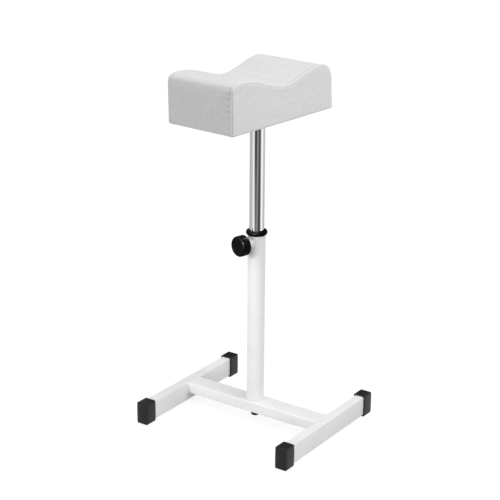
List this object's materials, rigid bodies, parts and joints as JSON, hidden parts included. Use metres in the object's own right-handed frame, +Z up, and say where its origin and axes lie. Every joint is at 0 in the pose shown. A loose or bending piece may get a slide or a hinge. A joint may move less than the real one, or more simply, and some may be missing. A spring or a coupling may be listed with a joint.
{
  "type": "pedicure footrest",
  "caption": "Height-adjustable footrest: H-shaped tube floor base, round post with hand clamp, chrome column that slides and swivels, and a wave-topped upholstered cushion for a leg or foot.",
  "frame": {"origin": "on the floor under the post's axis", "axes": "+Z up along the post; +X along the crossbar and roughly along the cushion's leg groove; +Y along the two floor rails, pointing away from the clamp knob"},
  "size_m": [0.3076, 0.2762, 0.623],
  "materials": {
    "white_powder_coat": "satin",
    "black_moulded_plastic": "matte",
    "black_knob_plastic": "satin",
    "black_oxide_steel": "satin",
    "zinc_plated_steel": "satin",
    "chrome_plate": "polished",
    "white_nylon": "matte",
    "pale_vinyl_leather": "satin",
    "birch_plywood": "matte",
    "polyurethane_foam": "matte",
    "black_dust_cloth": "matte"
  },
  "bodies": {
    "base": {"rail_left": "white_powder_coat", "rail_right": "white_powder_coat", "rail_cap_left_near": "black_moulded_plastic", "rail_cap_left_far": "black_moulded_plastic", "rail_cap_right_near": "black_moulded_plastic", "rail_cap_right_far": "black_moulded_plastic", "crossbar": "white_powder_coat", "base_bolt": "black_oxide_steel", "base_spring_washer": "zinc_plated_steel", "base_washer": "zinc_plated_steel", "post_tube": "white_powder_coat", "post_foot_plug": "zinc_plated_steel", "guide_bush": "black_moulded_plastic", "clamp_boss": "white_powder_coat"},
    "lift": {"column_guide_ring": "white_nylon"},
    "column": {"column_tube": "chrome_plate", "column_end_plug": "black_moulded_plastic", "mounting_plate": "white_powder_coat", "plate_screw_1": "zinc_plated_steel", "plate_screw_2": "zinc_plated_steel", "plate_screw_3": "zinc_plated_steel", "plate_screw_4": "zinc_plated_steel", "tee_nut_1": "zinc_plated_steel", "tee_nut_2": "zinc_plated_steel", "tee_nut_3": "zinc_plated_steel", "tee_nut_4": "zinc_plated_steel", "cushion_board": "birch_plywood", "cushion_foam": "polyurethane_foam", "cushion_cover": "pale_vinyl_leather", "cushion_piping_left": "pale_vinyl_leather", "cushion_piping_right": "pale_vinyl_leather", "cushion_dust_cover": "black_dust_cloth"},
    "pad": {"clamp_pad": "white_nylon"},
    "knob": {"clamp_stud": "zinc_plated_steel", "clamp_knob": "black_knob_plastic"}
  },
  "joints": [
    {"name": "column_height", "type": "slide", "parent": "base", "child": "lift", "axis": [0, 0, 1], "range_m": [-0.188, 0.04]},
    {"name": "column_swivel", "type": "hinge", "parent": "lift", "child": "column", "pos_m": [0, 0, 0.26], "axis": [0, 0, 1], "continuous": true},
    {"name": "clamp_travel", "type": "slide", "parent": "base", "child": "pad", "axis": [-0.2588, -0.9659, 0], "range_m": [0, 0.0019]},
    {"name": "knob_turn", "type": "hinge", "parent": "pad", "child": "knob", "pos_m": [-0.0088, -0.03284, 0.3237], "axis": [-0.2588, -0.9659, 0], "range_deg": [0, 540]}
  ],
  "couplings": [
    {"joint": "clamp_travel", "follows": "knob_turn", "m_per_rad": 0.00019894}
  ]
}
